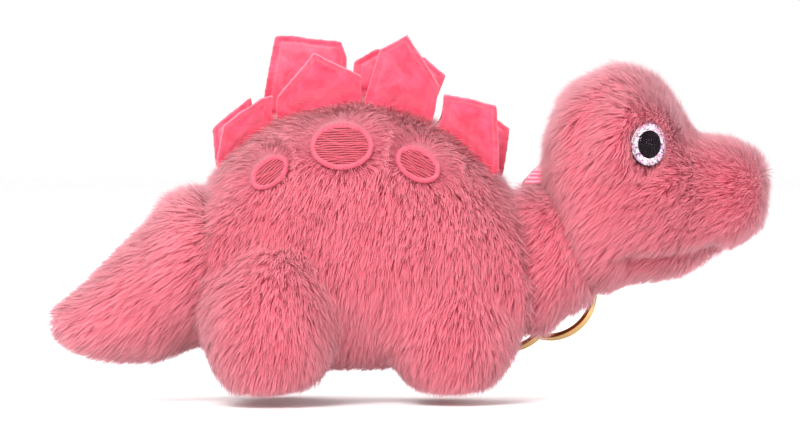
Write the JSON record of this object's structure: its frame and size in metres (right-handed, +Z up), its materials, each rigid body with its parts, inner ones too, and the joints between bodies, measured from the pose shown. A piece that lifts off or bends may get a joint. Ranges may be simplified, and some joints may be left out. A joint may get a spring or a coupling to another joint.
{
  "type": "plush stegosaurus bag charm",
  "caption": "Small stuffed stegosaurus with a long-pile plush skin, soft back plates, safety eyes and a ribbon loop with split rings.",
  "frame": {"origin": "on the ground, under the middle of the whole length and width", "axes": "+X forwards to the snout, +Y to the animal's left, +Z up"},
  "size_m": [0.1995, 0.0774, 0.102],
  "materials": {
    "plush": "long-pile plush",
    "velour": "short-pile velour",
    "embroidery": "satin stitch",
    "stuffing": "polyester fibre fill",
    "eye_clear": "clear moulded acrylic",
    "eye_glitter": "glitter film",
    "eye_black": "gloss",
    "washer": "moulded",
    "ribbon": "grosgrain",
    "gold_ring": "polished gold plate"
  },
  "bodies": {
    "torso": {"torso_panel_right": "plush", "torso_panel_left": "plush", "belly_gusset": "plush", "torso_stuffing": "stuffing", "spot_rear_right": "embroidery", "spot_middle_right": "embroidery", "spot_front_right": "embroidery", "spot_rear_left": "embroidery", "spot_middle_left": "embroidery", "spot_front_left": "embroidery"},
    "tail": {"tail_panel_right": "plush", "tail_panel_left": "plush", "tail_stuffing": "stuffing"},
    "head": {"neck_panel_right": "plush", "neck_panel_left": "plush", "neck_stuffing": "stuffing", "head_panel_right": "plush", "head_panel_left": "plush", "chin_gusset": "plush", "head_stuffing": "stuffing", "eye_dome_right": "eye_clear", "eye_dome_left": "eye_clear", "eye_pupil_right": "eye_black", "eye_pupil_left": "eye_black", "eye_iris_right": "eye_glitter", "eye_iris_left": "eye_glitter", "eye_shank_right": "eye_black", "eye_shank_left": "eye_black", "eye_washer_right": "washer", "eye_washer_left": "washer"},
    "plate_right_1": {"plate_right_1_outer": "velour", "plate_right_1_inner": "velour"},
    "plate_right_2": {"plate_right_2_outer": "velour", "plate_right_2_inner": "velour"},
    "plate_right_3": {"plate_right_3_outer": "velour", "plate_right_3_inner": "velour"},
    "plate_right_4": {"plate_right_4_outer": "velour", "plate_right_4_inner": "velour"},
    "plate_left_1": {"plate_left_1_outer": "velour", "plate_left_1_inner": "velour"},
    "plate_left_2": {"plate_left_2_outer": "velour", "plate_left_2_inner": "velour"},
    "plate_left_3": {"plate_left_3_outer": "velour", "plate_left_3_inner": "velour"},
    "plate_left_4": {"plate_left_4_outer": "velour", "plate_left_4_inner": "velour"},
    "ribbon": {"ribbon_loop": "ribbon"},
    "ring_front": {"split_ring_front": "gold_ring"},
    "ring_rear": {"split_ring_rear": "gold_ring"}
  },
  "joints": [
    {"name": "neck_bend", "type": "hinge", "parent": "torso", "child": "head", "pos_m": [0.03655, 0, 0.03654], "axis": [0, 1, 0], "range_deg": [-5, 10], "stiffness_Nm_per_rad": 0.3},
    {"name": "tail_wag", "type": "hinge", "parent": "torso", "child": "tail", "pos_m": [-0.05665, 0, 0.0378], "axis": [0, 0, 1], "range_deg": [-12, 12], "stiffness_Nm_per_rad": 0.1},
    {"name": "plate_right_1_flop", "type": "hinge", "parent": "torso", "child": "plate_right_1", "pos_m": [-0.05197, -0.005, 0.06299], "axis": [0.71, 0, 0.7042], "range_deg": [-8, 20], "stiffness_Nm_per_rad": 0.0005},
    {"name": "plate_right_2_flop", "type": "hinge", "parent": "torso", "child": "plate_right_2", "pos_m": [-0.03559, -0.005, 0.07866], "axis": [0.9723, 0, 0.2338], "range_deg": [-8, 20], "stiffness_Nm_per_rad": 0.0005},
    {"name": "plate_right_3_flop", "type": "hinge", "parent": "torso", "child": "plate_right_3", "pos_m": [-0.0112, -0.005, 0.08415], "axis": [0.9456, 0, -0.3254], "range_deg": [-8, 20], "stiffness_Nm_per_rad": 0.0005},
    {"name": "plate_right_4_flop", "type": "hinge", "parent": "torso", "child": "plate_right_4", "pos_m": [0.00941, -0.005, 0.0764], "axis": [0.7279, 0, -0.6857], "range_deg": [-8, 20], "stiffness_Nm_per_rad": 0.0005},
    {"name": "plate_left_1_flop", "type": "hinge", "parent": "torso", "child": "plate_left_1", "pos_m": [-0.05197, 0.005, 0.06299], "axis": [-0.6768, 0, -0.7362], "range_deg": [-8, 20], "stiffness_Nm_per_rad": 0.0005},
    {"name": "plate_left_2_flop", "type": "hinge", "parent": "torso", "child": "plate_left_2", "pos_m": [-0.03982, 0.005, 0.07572], "axis": [-0.938, 0, -0.3468], "range_deg": [-8, 20], "stiffness_Nm_per_rad": 0.0005},
    {"name": "plate_left_3_flop", "type": "hinge", "parent": "torso", "child": "plate_left_3", "pos_m": [-0.01516, 0.005, 0.08433], "axis": [-0.9639, 0, 0.2662], "range_deg": [-8, 20], "stiffness_Nm_per_rad": 0.0005},
    {"name": "plate_left_4_flop", "type": "hinge", "parent": "torso", "child": "plate_left_4", "pos_m": [0.00896, 0.005, 0.07672], "axis": [-0.7236, 0, 0.6902], "range_deg": [-8, 20], "stiffness_Nm_per_rad": 0.0005},
    {"name": "ribbon_lift", "type": "hinge", "parent": "head", "child": "ribbon", "pos_m": [0.03415, 0, 0.06028], "axis": [1, 0, 0], "range_deg": [0, 50]},
    {"name": "ring_front_swing", "type": "hinge", "parent": "ribbon", "child": "ring_front", "pos_m": [0.03465, 0.0335, 0.03478], "axis": [-0.3019, -0.8767, 0.3746], "range_deg": [-8, 5]},
    {"name": "ring_rear_swing", "type": "hinge", "parent": "ribbon", "child": "ring_rear", "pos_m": [0.03465, 0.0335, 0.03478], "axis": [-0.3019, -0.8767, 0.3746], "range_deg": [-8, 5]}
  ]
}
